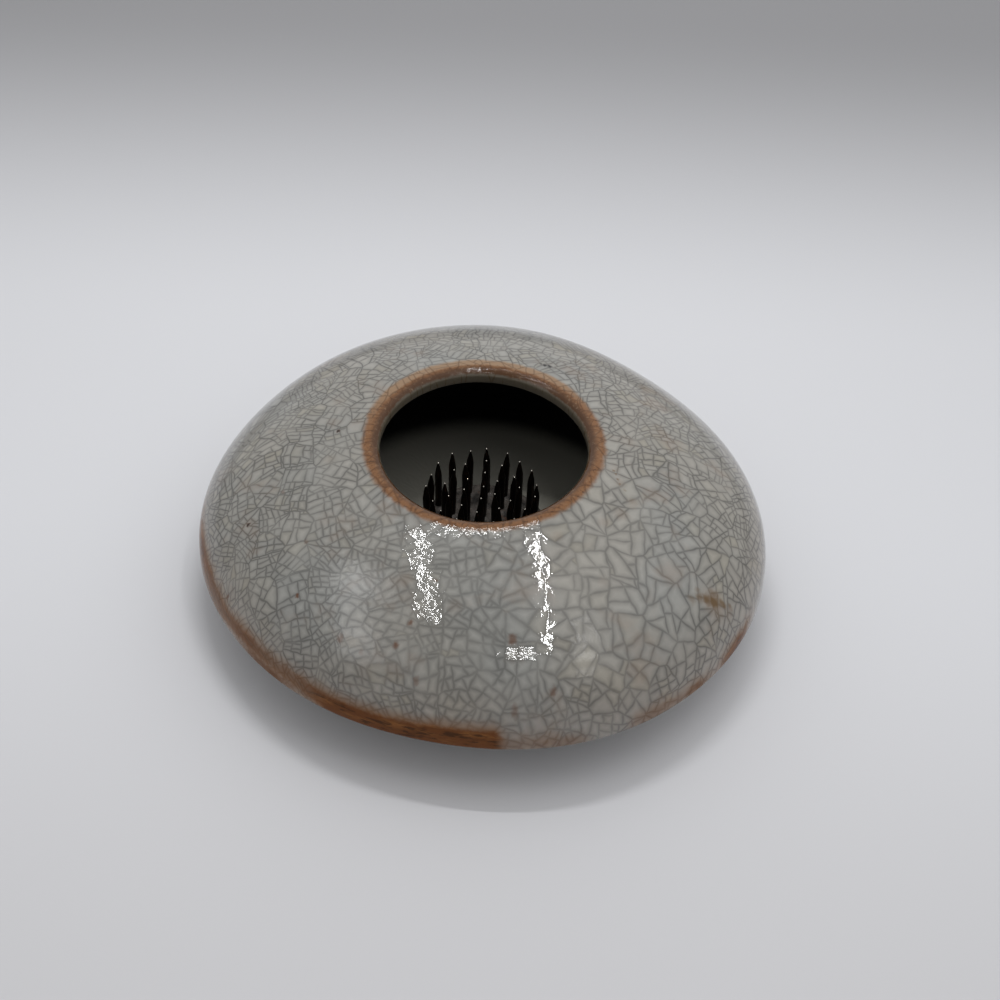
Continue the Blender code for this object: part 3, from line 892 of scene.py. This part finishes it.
studio = {
    # the paper on the table: its colour in the middle, with painted shade that darkens it a little in front
    # and much more far behind, and the places in mm behind the vase where they give way
    "paintedNearShade": (201, 201, 204), "middle": (213, 214, 218), "paintedFarShade": (153, 153, 156),
    "nearFades": (-110, 20), "farFades": (80, 262),
    "paperRoughness": 0.7,
    "paperSize": 3000.0,        # mm from the middle to each side
    # brightness of the surroundings near the table and overhead: front, back, left, right
    "low": (0.47, 0.74, 0.49, 0.53),
    "high": (0.40, 0.84, 0.62, 1.08),
    # soft glows in the surroundings that show in the gloss alone: (direction, width, brightness)
    "glows": [((-0.47, 0.08, 0.88), 0.11, 3.0), ((-0.55, -0.12, 0.82), 0.11, 2.2),
              ((-0.57, -0.34, 0.75), 0.12, 2.4), ((-0.59, -0.54, 0.60), 0.13, 2.0),
              ((0.39, -0.15, 0.91), 0.05, 2.0), ((0.43, -0.29, 0.85), 0.05, 2.6),
              ((0.47, -0.43, 0.77), 0.06, 2.8), ((0.50, -0.60, 0.62), 0.07, 2.0)],
    "height": 362.0, "drop": 2.0,           # mm, the light frame above the table
    # strips of the light frame: (x, y, length, width, turn in degrees, brightness, what it is for)
    "strips": [(-86, 9, 243, 4, 0, 10, "light"), (62, -22, 257, 4, 6, 42, "light"),
               (-16, 57, 4, 103, 0, 242, "light"), (-86, 9, 243, 2.1, 0, 78, "gloss"),
               (80, -46, 308, 3.0, 13, 134, "gloss"), (-16, 132, 2.6, 103, 0, 62, "gloss"),
               (60, -212, 2.5, 70, 0, 60, "gloss")],
}


def addFloor(values):
    size = values["paperSize"] * millimetre
    corners = [(-size, -size, 0), (size, -size, 0), (size, size, 0), (-size, size, 0)]
    mesh = bpy.data.meshes.new("floor")
    mesh.from_pydata(corners, [], [(0, 1, 2, 3)])
    material, tree, shader = newMaterial("paper")
    y = partsOf(tree, placeInMillimetres(tree))[1]
    paintedNearShade, middle, paintedFarShade = (seen(*values[key]) for key in ("paintedNearShade", "middle", "paintedFarShade"))
    # painted shade: the paper a little darker towards the front and much darker far behind
    colour = mixColours(tree, fade(tree, y, *values["nearFades"]), paintedNearShade, middle)
    colour = mixColours(tree, fade(tree, y, *values["farFades"]), colour, paintedFarShade)
    tree.links.new(colour, shader.inputs["Base Color"])
    shader.inputs["Roughness"].default_value = values["paperRoughness"]
    mesh.materials.append(material)
    floor = addObject("floor", mesh)


def addLights(values):
    world = bpy.data.worlds.new("studio")
    bpy.context.scene.world = world
    world.use_nodes = True
    tree = world.node_tree
    background = tree.nodes["Background"]
    background.inputs["Color"].default_value = (1.0, 1.0, 1.0, 1.0)
    # the surroundings: a share of each side by the square of its direction, low down and high up
    towards = addNode(tree, "ShaderNodeTexCoord").outputs["Generated"]
    flat = vec(tree, "NORMALIZE", vec(tree, "MULTIPLY", towards, (1.0, 1.0, 0.0)))
    across = partsOf(tree, flat)
    height = partsOf(tree, towards)[2]
    sides = [calc(tree, "POWER", calc(tree, "MAXIMUM", product(tree, across[way], sign), 0.0), 2.0)
             for way, sign in ((1, -1.0), (1, 1.0), (0, -1.0), (0, 1.0))]
    strength = 0.0
    for side, low, high in zip(sides, values["low"], values["high"]):
        strength = calc(tree, "MULTIPLY_ADD", side, fade(tree, height, 0.25, 0.75, low, high), strength)
    inGloss = addNode(tree, "ShaderNodeLightPath").outputs["Is Glossy Ray"]
    for direction, width, brightness in values["glows"]:
        glow = bell(tree, vec(tree, "DISTANCE", towards, Vector(direction).normalized()), width)
        strength = calc(tree, "MULTIPLY_ADD", product(tree, glow, inGloss), brightness, strength)
    tree.links.new(strength, background.inputs["Strength"])
    # the strips that give the light and the shadows are kept apart from those that show in the gloss
    for number, (x, y, length, width, turn, brightness, use) in enumerate(values["strips"], start=1):
        data = bpy.data.lights.new(f"strip_{number}", "AREA")
        data.shape = "RECTANGLE"
        data.size, data.size_y = width * millimetre, length * millimetre
        # an area lamp's power is its brightness times its area and pi
        data.energy = brightness * math.pi * data.size * data.size_y
        lamp = addObject(f"strip_{number}", data)
        # two lamps in one place would hide each other, so the ones for the gloss hang a little lower
        drop = values["drop"] if use == "gloss" else 0.0
        lamp.location = Vector((x, y, values["height"] - drop)) * millimetre
        lamp.rotation_euler = (0, 0, math.radians(turn))
        lamp.visible_glossy = use == "gloss"
        lamp.visible_diffuse = use == "light"


addCamera(cameraView, vaseShape["edgeHeight"])
print("camera placed")
makeVase(vaseShape, glaze)
print("vase thrown and glazed")
makePins(pinLook)
makeBase(baseLook)
print("pin holder cast")
addFloor(studio)
addLights(studio)
bpy.context.scene.view_settings.view_transform = "Standard"
print("floor and light set")
